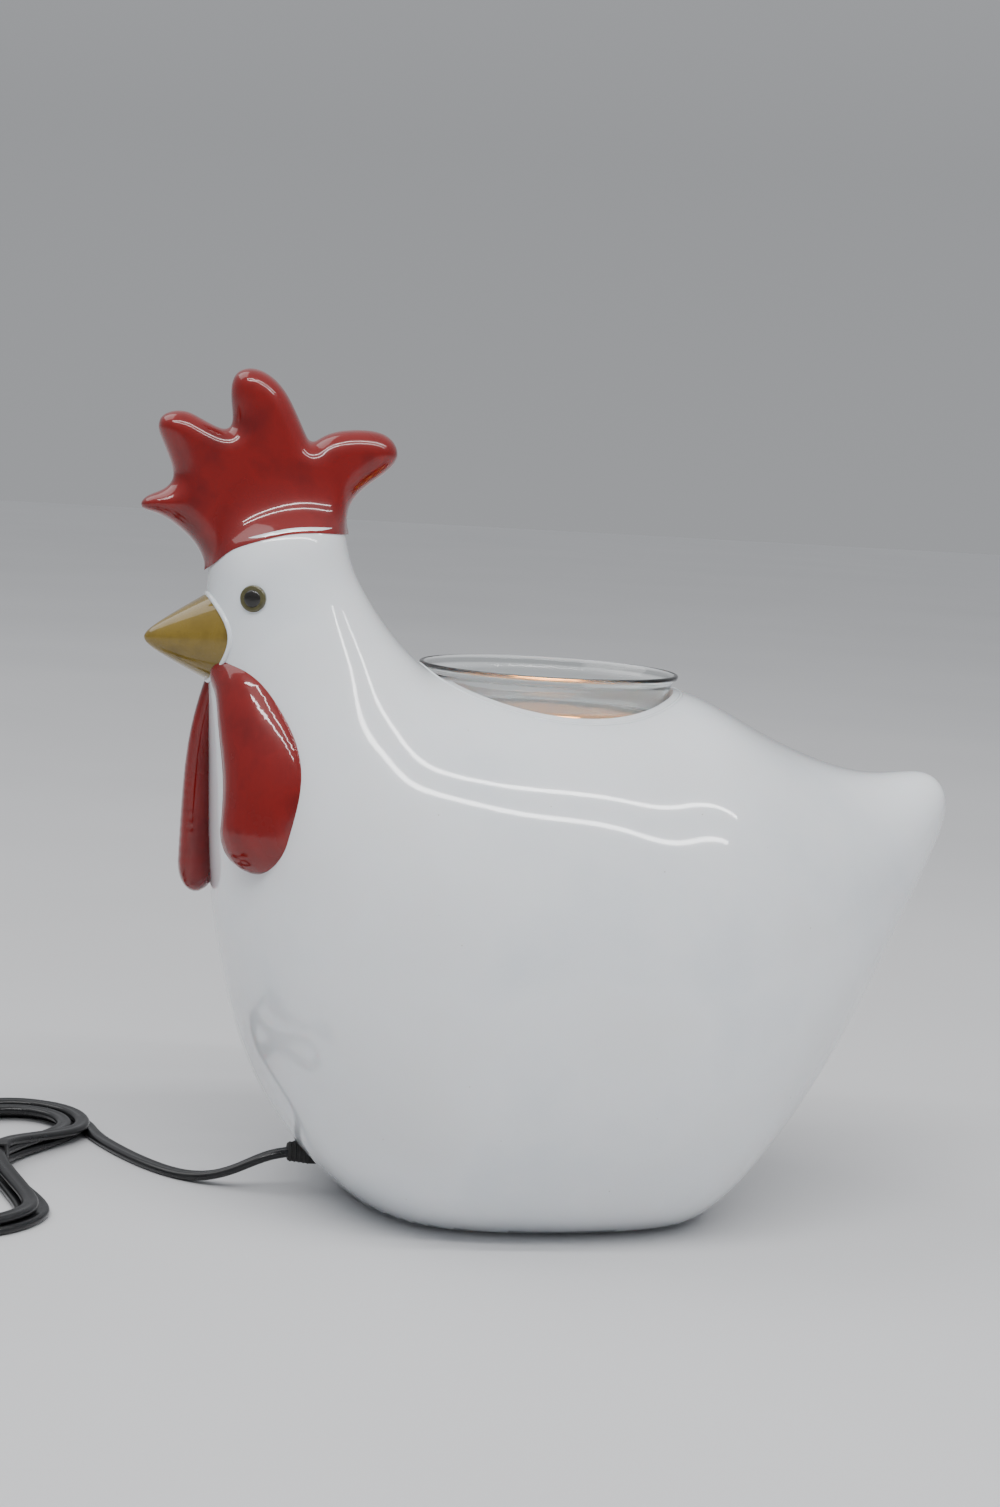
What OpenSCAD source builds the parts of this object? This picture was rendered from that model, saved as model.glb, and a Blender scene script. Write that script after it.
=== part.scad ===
// Electric wax warmer in the shape of a standing chicken.
// Glazed ceramic body, lift-out glass dish, lamp on a threaded pipe, two-core lead with
// an inline switch and a two-blade plug. The beak points to -X and +Z is up.
// The origin is on the table, under the middle of the body.

/* [Ceramic body] */
// Thickness of the ceramic wall
wall = 4.5; // [3.5:0.5:6]
// Height of the ceramic foot ring above the table
foot_z = 1.5; // [1:0.5:2.5]
// Top of the floor inside the body
floor_z = 8; // [7:0.5:10]
// Radius of the opening in the foot
foot_opening_r = 45; // [42:1:46]

/* [Glass dish] */
// Place of the dish and lamp axis along the body
axis_x = -3.5; // [-5:0.5:-2]
// Outer radius of the dish lip
dish_lip_r = 46.5; // [46:0.5:48]
// Outer radius of the dish wall
dish_wall_r = 44; // [43:0.5:44.5]
// Height of the dish rim above the table
dish_top_z = 192; // [190:1:194]
// Height of the ledge that the dish stands on
seat_z = 174; // [172:1:176]
// Thickness of the glass
glass_t = 2; // [1.5:0.25:2.5]

/* [Lamp] */
// Outer radius of the threaded pipe
pipe_r = 5; // [4.5:0.25:5.5]
// Underside of the lampholder
holder_z = 58; // [54:1:60]
// Largest radius of the bulb
bulb_r = 24; // [20:0.5:26]
// Height of the bulb's crown
bulb_top_z = 155; // [150:1:158]

/* [Mains lead] */
// Width of the flat two-core lead
lead_w = 5.8; // [5:0.2:6.4]
// Thickness of the flat two-core lead
lead_t = 2.9; // [2.6:0.1:3.2]
// Height of the lead where it leaves the body
exit_z = 14; // [12:0.5:16]

/* [Hidden] */
$fn = 64;

// Ribs of the body from the tail to the crown: back x, back z, front x, front z,
// half width, how low the widest point sits, fullness of the back, fullness of the front
ribs = [
    [151, 153, 151.5, 151, 1.5, 0, 0, 0],
    [147, 157, 152, 146, 8, 0, 0, 0],
    [140, 158.5, 150, 137, 15, 0, 0, 0],
    [127, 157.5, 144, 124, 23, 0, 0.05, 0.05],
    [112, 159, 135, 106, 32, 0, 0.1, 0.1],
    [95, 164, 124, 86, 45, 0.05, 0.1, 0.1],
    [76, 172, 110, 63, 60, 0.1, 0.12, 0.15],
    [58, 181, 93, 38, 73, 0.1, 0.14, 0.2],
    [42, 186.5, 72, 12, 84, 0.1, 0.15, 0.25],
    [24, 188, 50, -7, 90, 0.1, 0.15, 0.25],
    [5, 188.5, 24, -12, 94, 0.1, 0.15, 0.25],
    [-14, 189, -6, -13, 94, 0.1, 0.15, 0.25],
    [-31, 189, -36, -11, 92, 0.1, 0.15, 0.25],
    [-44, 189.5, -61, -3, 87, 0.1, 0.15, 0.25],
    [-51, 191.5, -87, 19, 79, 0.1, 0.12, 0.2],
    [-56, 195.5, -105, 48, 68, 0.1, 0.1, 0.15],
    [-61, 200.5, -116, 82, 56, 0.1, 0.1, 0.1],
    [-66, 206.5, -121.5, 117, 44, 0.05, 0.1, 0.1],
    [-71, 213.5, -123.5, 150, 35, 0, 0.1, 0.1],
    [-75.5, 221, -125.5, 180, 29, 0, 0.1, 0.1],
    [-78.5, 228.5, -127, 203, 26, 0, 0.1, 0.1],
    [-80.5, 236.5, -127, 221, 24, 0, 0.1, 0.1],
    [-83, 243, -124, 233, 19, 0, 0.1, 0.1],
    [-90, 248, -114, 241, 11, 0, 0.1, 0.1],
    [-98, 249, -105, 247, 3, 0, 0, 0]];
rib_steps = 2;
outer_sides = 48;
inner_sides = 32;
inner_first = 2;
inner_last = 19;

// Line where the red comb meets the white head
crown_back = [-80.5, 235];
crown_tilt = 15.6;

// Comb lobes: each ball is x, z, radius and half thickness
lobe_top = [[-114.5, 281.5, 8.5, 7.5], [-108.5, 267, 12.5, 10.5], [-104, 244, 20, 17]];
lobe_front = [[-138.7, 266.5, 8, 7], [-127, 257, 13.5, 10.5], [-112, 242, 16, 17]];
lobe_spike = [[-149, 241.6, 3, 3], [-137, 243, 8.5, 7], [-117, 236, 12, 16]];
lobe_back = [[-70, 264, 6.8, 6.5], [-82, 258.5, 10, 9], [-94, 243, 14, 17]];
lobe_web = [[-120, 260, 9, 9.5], [-95, 256, 9, 9.5]];

// Wattles: each ball is x, y, z and radius
wattle_left_balls = [[-119.5, -13, 185.5, 7.4], [-115.5, -19.5, 180, 10],
    [-112.5, -26, 169, 12.5], [-108.6, -33.5, 152, 15.1], [-110.5, -37, 134.5, 13.7]];
wattle_right_balls = [[-121.5, 2.5, 184, 6.4], [-124, 6, 168, 8.3], [-125, 9, 148, 10.2],
    [-124.5, 11, 118, 11.8]];
wattle_left_turn = -32;
wattle_right_turn = 60;
wattle_left_flat = 0.62;
wattle_right_flat = 0.5;

// Routes of the lead over the table, from the body to the hank and on to the plug
lead_route = [[-89, 0, 14], [-94, 0, 13.4], [-99, 0.6, 11.4], [-104.5, 2, 8.2],
    [-111, 4.5, 4.8], [-118.5, 9, 2.4], [-126, 15.5, 1.5], [-133, 24.5, 1.5], [-139, 35, 1.5],
    [-144.5, 47, 1.5], [-149.5, 60, 1.5], [-152.5, 72, 1.5]];
tail_route = [[-206, 102, 3.6], [-216, 93, 2.2], [-228, 87, 1.5], [-239, 82, 1.5],
    [-247.5, 77, 2], [-253, 69, 3.8], [-255, 59, 6.6], [-255, 48, 7.5]];
end_route = [[-255, 2, 7.5], [-255, -6, 6.8], [-255, -16, 4], [-255, -28, 2.6],
    [-255, -40, 4], [-255, -50, 6.8], [-255, -58, 7.5]];
exit_x = -67;

// Hank of folded lead, pinched at its tie
hank_x = -193;
hank_y = 26;
hank_turn = 12;
hank_end_r = 31;
hank_eye_r = 17;
hank_reach = 52;
hank_h = 7.4;
waist_w = 12;
waist_top = 10.2;
tie_w = 6;
tie_t = 1.2;

// Inline switch and plug
end_x = -255;
lead_rise = 7.5;
switch_y = [2, 48];
switch_len = switch_y[1] - switch_y[0];
switch_w = 24;
switch_h = 15;
switch_split = 7.5;
wheel_z = 9.5;
wheel_r = 8;
axle_r = 1.5;
plug_y = -58;

function cr(a, b, c, d, t) = 0.5 * (2 * b + (c - a) * t + (2 * a - 5 * b + 4 * c - d) * t * t
    + (3 * b - a - 3 * c + d) * t * t * t);
function clampi(i, n) = min(max(i, 0), n - 1);
function smooth_row(p, i, t) = let (n = len(p))
    cr(p[clampi(i - 1, n)], p[i], p[clampi(i + 1, n)], p[clampi(i + 2, n)], t);
function smooth_rows(p, first, last, steps) = concat(
    [for (i = [first:last - 1], k = [0:steps - 1]) smooth_row(p, i, k / steps)], [p[last]]);

// One rib drawn inset by t from the outside surface
function rib_point(r, t, a) = let (
        dx = r[2] - r[0], dz = r[3] - r[1], len = norm([dx, dz]), c = cos(a),
        u = 0.5 * (1 - c), v = u + r[5] * u * (1 - u), k = t / len + (1 - 2 * t / len) * v,
        full = c > 0 ? r[6] : r[7])
    [r[0] + dx * k, (r[4] - t) * sin(a) * (1 + full * c * c), r[1] + dz * k];

function middle(ring) = [for (k = [0:2]) let (v = [for (q = ring) q[k]])
    v * [for (q = ring) 1] / len(ring)];

// Closed skin over a list of rings with the same number of points
module skin(rings) {
    n = len(rings[0]);
    m = len(rings);
    side = [for (i = [0:m - 2], j = [0:n - 1]) let (k = (j + 1) % n, a = i * n, b = a + n)
        each [[a + j, a + k, b + k], [a + j, b + k, b + j]]];
    caps = [for (j = [0:n - 1]) let (k = (j + 1) % n, a = (m - 1) * n)
        each [[n * m, k, j], [n * m + 1, a + j, a + k]]];
    polyhedron(concat([for (ring = rings) each ring], [middle(rings[0]), middle(rings[m - 1])]),
        concat(side, caps));
}

module body_loft(t, first, last, sides) {
    skin([for (r = smooth_rows(ribs, first, last, rib_steps))
        [for (j = [0:sides - 1]) rib_point(r, t, -360 * j / sides)]]);
}

module body_outside() {
    intersection() {
        body_loft(0, 0, len(ribs) - 1, outer_sides);
        translate([-200, -150, foot_z]) cube([400, 300, 300]);
    }
}

// Everything above the line between head and comb
module crown_space() {
    translate([crown_back[0], 0, crown_back[1]]) rotate([0, -crown_tilt, 0])
        translate([-120, -60, 0]) cube([160, 120, 90]);
}

// A ring about the lamp axis
module ring(r, r_in, z, z_top) {
    translate([axis_x, 0, z]) difference() {
        cylinder(r = r, h = z_top - z);
        translate([0, 0, -1]) cylinder(r = r_in, h = z_top - z + 2);
    }
}

module post(r, z, z_top) {
    translate([axis_x, 0, z]) cylinder(r = r, h = z_top - z);
}

module around(count, r, z, start = 0) {
    for (i = [0:count - 1]) translate([axis_x, 0, 0]) rotate([0, 0, start + 360 * i / count])
        translate([r, 0, z]) children();
}

seat_r = dish_wall_r + 1;
seat_hole_r = 37;
plate_r = foot_opening_r + 6;

module body_shell() {
    color("white") difference() {
        body_outside();
        crown_space();
        difference() {
            body_loft(wall, inner_first, inner_last, inner_sides);
            translate([-200, -150, -40]) cube([400, 300, 40 + floor_z]);
            post(seat_r + wall, seat_z - 6, 220);
        }
        post(seat_r, seat_z, 230);
        post(dish_lip_r + 0.7, dish_top_z - 4.6, 230);
        for (side = [-1, 1]) eye_disc(side, eye_r, 4, -2);
        post(seat_hole_r, seat_z - 20, seat_z + 1);
        post(foot_opening_r, -5, floor_z + 1);
        post(plate_r + 0.5, -5, foot_z + 3);
        translate([-120, 0, exit_z]) rotate([0, 90, 0]) cylinder(r = bushing_r + 0.02, h = 70);
    }
}

module lobe(balls, steps = 16) {
    for (i = [0:len(balls) - 2]) hull() for (b = [balls[i], balls[i + 1]])
        translate([b[0], 0, b[1]]) scale([1, b[3] / b[2], 1]) sphere(r = b[2], $fn = steps);
}

module comb() {
    color([0.6, 0.06, 0.05]) intersection() {
        union() {
            body_loft(0, len(ribs) - 6, len(ribs) - 1, outer_sides);
            lobe(lobe_top);
            lobe(lobe_front);
            lobe(lobe_spike);
            lobe(lobe_back);
            lobe(lobe_web);
        }
        crown_space();
    }
}

beak_root_x = -119;
beak_tip_x = -148.2;
beak_z = 196.5;
beak_r = 19.3;
beak_lift = 1.8;
beak_blunt = 0.45;

module beak_cone() {
    steps = 12;
    beak_len = beak_root_x - beak_tip_x;
    curve = [for (i = [0:steps]) let (w = pow(1 - i / steps, 1.4))
        [beak_r * sqrt(w * (w + beak_blunt) / (1 + beak_blunt)), beak_len * (1 - w)]];
    multmatrix([[1, 0, 0, beak_root_x], [0, 1, 0, 0],
            [beak_lift / beak_len, 0, 1, beak_z + beak_lift], [0, 0, 0, 1]])
        rotate([0, -90, 0]) rotate_extrude($fn = 40) polygon(concat([[0, 0]], curve));
}

module beak() {
    color([0.53, 0.47, 0.17]) difference() {
        beak_cone();
        body_outside();
    }
}

module wattle(balls, turn, flat) {
    color([0.6, 0.06, 0.05]) difference() {
        for (i = [0:len(balls) - 2]) hull() for (b = [balls[i], balls[i + 1]])
            translate([b[0], b[1], b[2]]) rotate([0, 0, turn])
                scale([1, flat, 1]) sphere(r = b[3], $fn = 24);
        body_outside();
        beak_cone();
    }
}

module wattle_left() { wattle(wattle_left_balls, wattle_left_turn, wattle_left_flat); }
module wattle_right() { wattle(wattle_right_balls, wattle_right_turn, wattle_right_flat); }

eye_x = -114.3;
eye_z = 212.7;
eye_y = 23;
eye_turn = 28;
eye_r = 4.6;

module eye_disc(side, r, out, back) {
    translate([eye_x, side * eye_y, eye_z]) rotate([0, 0, side * eye_turn])
        rotate([side * -90, 0, 0]) translate([0, 0, back]) cylinder(r = r, h = out - back);
}

module eye(side) {
    color([0.33, 0.32, 0.2]) difference() {
        eye_disc(side, eye_r, 1.2, -2);
        eye_disc(side, 3.05, 3, -3);
    }
}

module eye_left() { eye(-1); }
module eye_right() { eye(1); }
module pupil_left() { color([0.05, 0.05, 0.04]) eye_disc(-1, 3.05, 1.3, -2); }
module pupil_right() { color([0.05, 0.05, 0.04]) eye_disc(1, 3.05, 1.3, -2); }

dish_foot_r = dish_wall_r - 3;

module wax_dish() {
    color([0.85, 0.9, 0.92, 0.4]) translate([axis_x, 0, seat_z]) rotate_extrude($fn = 96)
        difference() {
            h = dish_top_z - seat_z;
            union() {
                polygon([[0, 0], [dish_foot_r, 0], [dish_wall_r - 0.8, 1], [dish_wall_r, 3],
                    [dish_wall_r, h - 4], [dish_lip_r, h - 1.2], [dish_lip_r, h - 0.4],
                    [dish_lip_r - 0.5, h], [0, h]]);
            }
            polygon([[-1, glass_t], [dish_foot_r - 1, glass_t], [dish_wall_r - glass_t, 4],
                [dish_wall_r - glass_t, h - 4], [dish_lip_r - glass_t, h - 1],
                [dish_lip_r - glass_t, h + 1], [-1, h + 1]]);
        }
}

pad_ring_r = 42;
pad_r = 5.5;
plate_z = 2;
plate_t = 2.5;
hub_r = 14;
hub_top = floor_z;

module base_plate() {
    color([0.1, 0.1, 0.1]) difference() {
        union() {
            post(plate_r, plate_z, plate_z + plate_t);
            post(foot_opening_r - 0.5, plate_z + 1, plate_z + plate_t + 1.5);
            post(hub_r, plate_z, hub_top);
        }
        post(pipe_r + 0.05, -5, 20);
        post(10.5, -5, 6);
        around(12, 24, 0) cylinder(r = 3, h = 20);
        around(12, 33, 0, 15) cylinder(r = 3, h = 20);
    }
}

module base_pads() {
    color([0.15, 0.15, 0.15]) around(4, pad_ring_r, 0, 45) cylinder(r = pad_r, h = plate_z);
}

bar_reach = foot_opening_r + 4;
bar_t = 1.5;

module clamp_bar() {
    color("silver") difference() {
        translate([axis_x - bar_reach, -8, floor_z]) cube([2 * bar_reach, 16, bar_t]);
        post(pipe_r + 0.05, 0, 20);
    }
}

nut_t = 3;
washer_t = 1;
pipe_bottom = 2.5;
shield_z = holder_z - nut_t;
shield_t = 0.8;

module hex_nut(z) {
    translate([axis_x, 0, z]) difference() {
        cylinder(r = 8.1, h = nut_t, $fn = 6);
        translate([0, 0, -1]) cylinder(r = pipe_r + 0.02, h = nut_t + 2);
    }
}

module lamp_pipe() {
    color("goldenrod") ring(pipe_r, 3.4, pipe_bottom, holder_z + 7);
}

module pipe_nuts() {
    color("goldenrod") {
        hex_nut(6 - nut_t);
        hex_nut(floor_z + bar_t + washer_t);
        hex_nut(shield_z - shield_t - nut_t);
        hex_nut(holder_z - nut_t);
    }
}

module pipe_washers() {
    color("silver") ring(9, pipe_r + 0.05, floor_z + bar_t, floor_z + bar_t + washer_t);
}

// Two small holes for the wires, either side of the axis
module wire_holes(z, h, r = 1.6) {
    for (side = [-1, 1]) translate([axis_x, side * terminal_r, z]) cylinder(r = r, h = h);
}

module heat_shield() {
    color("gainsboro") difference() {
        translate([axis_x, 0, shield_z]) rotate_extrude() polygon([[pipe_r + 0.05, 0], [26, 0],
            [34, 5], [34.6, 4.4], [26.3, -shield_t], [pipe_r + 0.05, -shield_t]]);
        wire_holes(shield_z - 5, 10, 2.8);
    }
}

holder_r = 19;
holder_top = holder_z + 38;
holder_floor = holder_z + 12;
shell_r = 13.9;
shell_t = 0.5;
terminal_r = 12;

module holder_body() {
    color([0.92, 0.9, 0.85]) difference() {
        union() {
            post(holder_r, holder_z, holder_top);
            post(holder_r + 1.5, holder_top - 5, holder_top);
        }
        post(pipe_r + 0.05, holder_z - 1, holder_z + 7);
        post(shell_r + 0.05, holder_floor, holder_top + 1);
        post(2.02, holder_z, holder_floor + 1);
        wire_holes(holder_z - 1, 14);
    }
}

module holder_ring() {
    color("black") ring(holder_r + 3, holder_r + 0.05, holder_top - 12, holder_top - 6);
}

module screw_shell() {
    color("gold") {
        ring(shell_r, shell_r - shell_t, holder_floor, holder_top - 3);
        ring(shell_r - shell_t, 9.5, holder_floor, holder_floor + 0.6);
    }
}

tip_z = holder_floor + 2.2;

module centre_contact() {
    color("gold") {
        post(2, holder_floor - 6, holder_floor + 1);
        post(5, holder_floor + 1, tip_z - 0.1);
    }
}

module terminal_screws() {
    color("goldenrod") for (side = [-1, 1])
        translate([axis_x, side * (terminal_r - 0.2), holder_floor + 0.6])
            cylinder(r = 1.6, h = 1.2);
}

cap_r = shell_r - shell_t - 0.35;
cap_z = tip_z + 4;
cap_top = cap_z + 22;
bulb_neck_r = 12;
bulb_mid_z = bulb_top_z - bulb_r;

// Outline of the bulb glass, inset by t
function bulb_line(t) = concat(
    [[bulb_neck_r - t, cap_top - 2], [bulb_neck_r - t, cap_top + 3]],
    [for (a = [-42:8:86]) [(bulb_r - t) * cos(a), bulb_mid_z + (bulb_r - t) * sin(a)]],
    [[0, bulb_mid_z + bulb_r - t]]);

module bulb_glass() {
    color([1, 0.95, 0.85, 0.5]) translate([axis_x, 0, 0]) rotate_extrude() difference() {
        polygon(concat([[0, cap_top - 2]], bulb_line(0)));
        polygon(concat([[0, cap_top - 3], [bulb_neck_r - 0.8, cap_top - 3]], bulb_line(0.8)));
    }
}

module bulb_cap() {
    color("silver") translate([axis_x, 0, 0]) rotate_extrude() polygon([
        [4, cap_z], [8, cap_z], [cap_r - 0.6, cap_z + 2], [cap_r, cap_z + 3], [cap_r, cap_top],
        [bulb_neck_r + 0.02, cap_top], [bulb_neck_r + 0.02, cap_z + 4], [4, cap_z + 1]]);
}

module bulb_insulator() {
    color([0.1, 0.1, 0.12]) translate([axis_x, 0, 0]) rotate_extrude()
        polygon([[0, tip_z], [3.5, tip_z], [4.5, tip_z + 0.8], [8, cap_z - 0.02],
            [0, cap_z - 0.02]]);
}

stem_z = cap_z + 5;
stem_len = bulb_mid_z - 12 - stem_z;

module bulb_stem() {
    color([0.9, 0.95, 1, 0.5]) {
        translate([axis_x, 0, stem_z]) rotate_extrude() polygon([[0, 0], [bulb_neck_r - 0.9, 0],
            [bulb_neck_r - 0.9, 1], [4.5, 9], [3.2, 14], [3.2, stem_len], [0, stem_len]]);
        difference() {
            for (side = [-1, 1]) translate([axis_x, side * 2, bulb_mid_z - 14])
                rotate([side * -26, 0, 0]) cylinder(r = 0.4, h = 19, $fn = 16);
            filament_arc();
        }
    }
}

module filament_arc() {
    translate([axis_x, 0, bulb_mid_z + 3]) rotate([0, 0, 90]) rotate([90, 0, 0])
        translate([0, 0, -0.5]) difference() {
            cylinder(r = 10.6, h = 1);
            translate([0, 0, -1]) cylinder(r = 9.6, h = 3);
            translate([-20, -20, -1]) cube([40, 20, 3]);
        }
}

module bulb_filament() { color("orange") filament_arc(); }

// A tube swept along points, level side out, with the given half width and half height
module sweep(path, rw, rh, sides) {
    n = len(path);
    skin([for (i = [0:n - 1]) let (
            d0 = path[min(i + 1, n - 1)] - path[max(i - 1, 0)], d = d0 / norm(d0),
            s0 = abs(d[2]) > 0.9 ? [0, 1, 0] : [-d[1], d[0], 0], s = s0 / norm(s0), u = cross(d, s))
        [for (j = [0:sides - 1]) let (a = -360 * j / sides)
            path[i] + s * rw * cos(a) + u * rh * sin(a)]]);
}

module lead_along(route, steps) {
    color([0.06, 0.06, 0.06])
        sweep(smooth_rows(route, 0, len(route) - 1, steps), lead_w / 2, lead_t / 2, 10);
}

wire_r = 1.1;
bushing_r = 4.6;
bushing_len = 22;

module wire(side) {
    color(side > 0 ? "dimgray" : "black") sweep([[exit_x, side * 1.4, exit_z],
        [exit_x + 8, side * 2, exit_z + 1], [exit_x + 18, side * 4, exit_z + 8],
        [-36, side * 8, 32], [-16, side * 11.5, 40], [-5.5, side * terminal_r, 48],
        [axis_x, side * terminal_r, holder_z], [axis_x, side * terminal_r, holder_floor]],
        wire_r, wire_r, 8);
}

module wire_live() { wire(-1); }
module wire_neutral() { wire(1); }

module cord_bushing() {
    color([0.05, 0.05, 0.05]) translate([exit_x, 0, exit_z]) rotate([0, -90, 0])
        rotate_extrude() polygon([[0, 0], [6.2, 0], [6.2, 2], [bushing_r, 2], [bushing_r, 14],
            [3.4, bushing_len], [0, bushing_len]]);
}

module cord_lead() { lead_along(lead_route, 3); }
module cord_tail() { lead_along(tail_route, 3); }
module cord_end() { lead_along(end_route, 3); }

module at_hank() {
    translate([hank_x, hank_y, 0]) rotate([0, 0, -hank_turn]) children();
}

module hank_block(w, len, z, z_top) {
    translate([-w / 2, -len / 2, z]) cube([w, len, z_top - z]);
}

module cord_hank() {
    color([0.08, 0.08, 0.08]) at_hank() {
        for (side = [-1, 1]) linear_extrude(hank_h) difference() {
            hull() {
                translate([0, side * hank_reach]) circle(r = hank_end_r);
                translate([0, side * 9]) square([waist_w, 2], center = true);
            }
            hull() {
                translate([0, side * hank_reach]) circle(r = hank_eye_r);
                translate([0, side * 22]) circle(r = 2);
            }
        }
        hank_block(waist_w, 20, tie_t, waist_top);
    }
}

module hank_tie() {
    color([0.03, 0.03, 0.03]) at_hank() difference() {
        hank_block(waist_w + 2 * tie_t, tie_w, 0, waist_top + tie_t);
        hank_block(waist_w, 2 * tie_w, tie_t, waist_top);
    }
}

// A slab with rounded corners, centred on x and y
module slab(w, len, r, h) {
    linear_extrude(h) {
        square([w, len - 2 * r], center = true);
        square([w - 2 * r, len], center = true);
        for (x = [-1, 1], y = [-1, 1]) translate([x * (w / 2 - r), y * (len / 2 - r)])
            circle(r = r);
    }
}

module at_switch(z) {
    translate([end_x, (switch_y[0] + switch_y[1]) / 2, z]) children();
}

module switch_bores() {
    at_switch(lead_rise) rotate([90, 0, 0]) cylinder(r = 3.1, h = 80, center = true);
    at_switch(0) for (side = [-1, 1]) translate([side * 7, side * 18.5, -1])
        cylinder(r = 1.4, h = switch_h - 1);
}

module switch_base() {
    color([0.07, 0.07, 0.07]) difference() {
        at_switch(0) slab(switch_w, switch_len, 6, switch_split);
        at_switch(1) slab(switch_w - 5, 28, 2, switch_split);
        switch_bores();
        at_switch(-1) for (side = [-1, 1]) translate([side * 7, side * 18.5, 0])
            cylinder(r = 2.7, h = 3);
    }
}

module switch_cover() {
    color([0.07, 0.07, 0.07]) difference() {
        at_switch(switch_split) slab(switch_w, switch_len, 6, switch_h - switch_split);
        at_switch(switch_split - 1) slab(switch_w - 5, 28, 2, switch_h - switch_split - 1);
        at_switch(switch_split) translate([-3.3, -8, 0]) cube([6.6, 16, 20]);
        switch_bores();
        at_switch(wheel_z) rotate([0, 90, 0]) cylinder(r = axle_r, h = 30, center = true);
    }
}

module switch_wheel() {
    color([0.75, 0.75, 0.72]) at_switch(wheel_z) rotate([0, 90, 0]) difference() {
        cylinder(r = wheel_r, h = 5, center = true);
        cylinder(r = axle_r + 0.05, h = 7, center = true);
        for (i = [0:19]) rotate([0, 0, 18 * i]) translate([wheel_r + 0.2, 0, 0])
            cylinder(r = 0.7, h = 7, center = true, $fn = 16);
    }
}

module switch_axle() {
    color("silver") at_switch(wheel_z) rotate([0, 90, 0])
        cylinder(r = axle_r, h = switch_w - 1, center = true);
}

module switch_screws() {
    color("silver") at_switch(0) for (side = [-1, 1]) translate([side * 7, side * 18.5, 0]) {
        translate([0, 0, 0.4]) cylinder(r = 2.6, h = 1.6);
        translate([0, 0, 2]) cylinder(r = 1.4, h = 9);
    }
}

// Half of the plug's outline, from the lead to the face
plug_side = [[4.2, 0], [5, -9], [9.5, -13], [11, -17], [10, -21], [10.4, -25], [12.5, -29],
    [12.5, -34]];
plug_len = 34;
blade_gap = 12.7;
blade_t = 1.5;
blade_len = 17;

module plug_body() {
    color([0.06, 0.06, 0.06]) translate([end_x, plug_y, 0]) difference() {
        intersection() {
            linear_extrude(2 * lead_rise) polygon(concat(plug_side,
                [for (i = [len(plug_side) - 1:-1:0]) [-plug_side[i][0], plug_side[i][1]]]));
            translate([0, 1, lead_rise]) rotate([90, 0, 0]) cylinder(r = 13.5, h = plug_len + 2);
            translate([-15, 0, 0]) rotate([90, 0, 90]) linear_extrude(30) polygon([[1, 3.6],
                [-9, 2.4], [-14, 0], [-plug_len - 1, 0], [-plug_len - 1, 15], [-14, 15],
                [-9, 12.6], [1, 11.4]]);
        }
        for (side = [-1, 1]) translate([side * blade_gap / 2, -plug_len + 4, lead_rise])
            cube([blade_t, 16, blade_w(side)], center = true);
    }
}

function blade_w(side) = side > 0 ? 7.9 : 6.3;

module plug_blades() {
    color("goldenrod") translate([end_x, plug_y - plug_len + 12, lead_rise])
        for (side = [-1, 1]) translate([side * blade_gap / 2, -(12 + blade_len) / 2, 0])
            difference() {
                cube([blade_t, 12 + blade_len, blade_w(side)], center = true);
                translate([0, -10.5, 0]) rotate([0, 90, 0])
                    cylinder(r = 1.6, h = 4, center = true);
            }
}

body_shell();
comb();
beak();
wattle_left();
wattle_right();
eye_left();
eye_right();
pupil_left();
pupil_right();
wax_dish();
base_plate();
base_pads();
clamp_bar();
lamp_pipe();
pipe_nuts();
pipe_washers();
heat_shield();
holder_body();
holder_ring();
screw_shell();
centre_contact();
terminal_screws();
bulb_glass();
bulb_cap();
bulb_insulator();
bulb_stem();
bulb_filament();
wire_live();
wire_neutral();
cord_bushing();
cord_lead();
cord_hank();
hank_tie();
cord_tail();
cord_end();
switch_base();
switch_cover();
switch_wheel();
switch_axle();
switch_screws();
plug_body();
plug_blades();
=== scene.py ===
import math

import bmesh
import bpy
import numpy as np
from mathutils import Matrix, Vector
from mathutils.bvhtree import BVHTree


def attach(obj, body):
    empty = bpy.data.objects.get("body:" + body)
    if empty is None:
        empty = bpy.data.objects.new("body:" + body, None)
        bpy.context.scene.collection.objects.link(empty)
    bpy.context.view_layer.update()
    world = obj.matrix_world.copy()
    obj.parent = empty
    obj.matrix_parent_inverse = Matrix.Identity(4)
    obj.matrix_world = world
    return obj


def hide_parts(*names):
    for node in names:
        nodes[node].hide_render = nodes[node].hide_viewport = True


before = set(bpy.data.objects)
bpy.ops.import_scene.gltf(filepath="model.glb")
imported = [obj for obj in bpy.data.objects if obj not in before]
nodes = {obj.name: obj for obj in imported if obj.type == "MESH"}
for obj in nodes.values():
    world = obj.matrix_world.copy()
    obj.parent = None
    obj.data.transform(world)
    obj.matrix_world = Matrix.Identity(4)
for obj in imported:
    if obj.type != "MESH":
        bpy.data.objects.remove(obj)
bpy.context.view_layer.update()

MM = 0.001
AXIS_X = -3.5
TOP = Vector((0, 0, 1))

# ---------------------------------------------------------------- camera

camera = bpy.data.objects.new("camera", bpy.data.cameras.new("camera"))
bpy.context.scene.collection.objects.link(camera)
bpy.context.scene.camera = camera
camera.data.sensor_fit = "VERTICAL"
camera.data.sensor_height = 24
camera.data.lens = 40.26
camera.data.clip_end = 30


def aim(place, target, tilt):
    """Stands the camera at place, looking at target, leaning by tilt degrees."""
    away = (place - target).normalized()
    right = TOP.cross(away).normalized()
    up = away.cross(right)
    lean = math.radians(tilt)
    side = right * math.cos(lean) + up * math.sin(lean)
    turn = Matrix((side, away.cross(side), away)).transposed().to_4x4()
    camera.matrix_world = Matrix.Translation(place) @ turn


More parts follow.
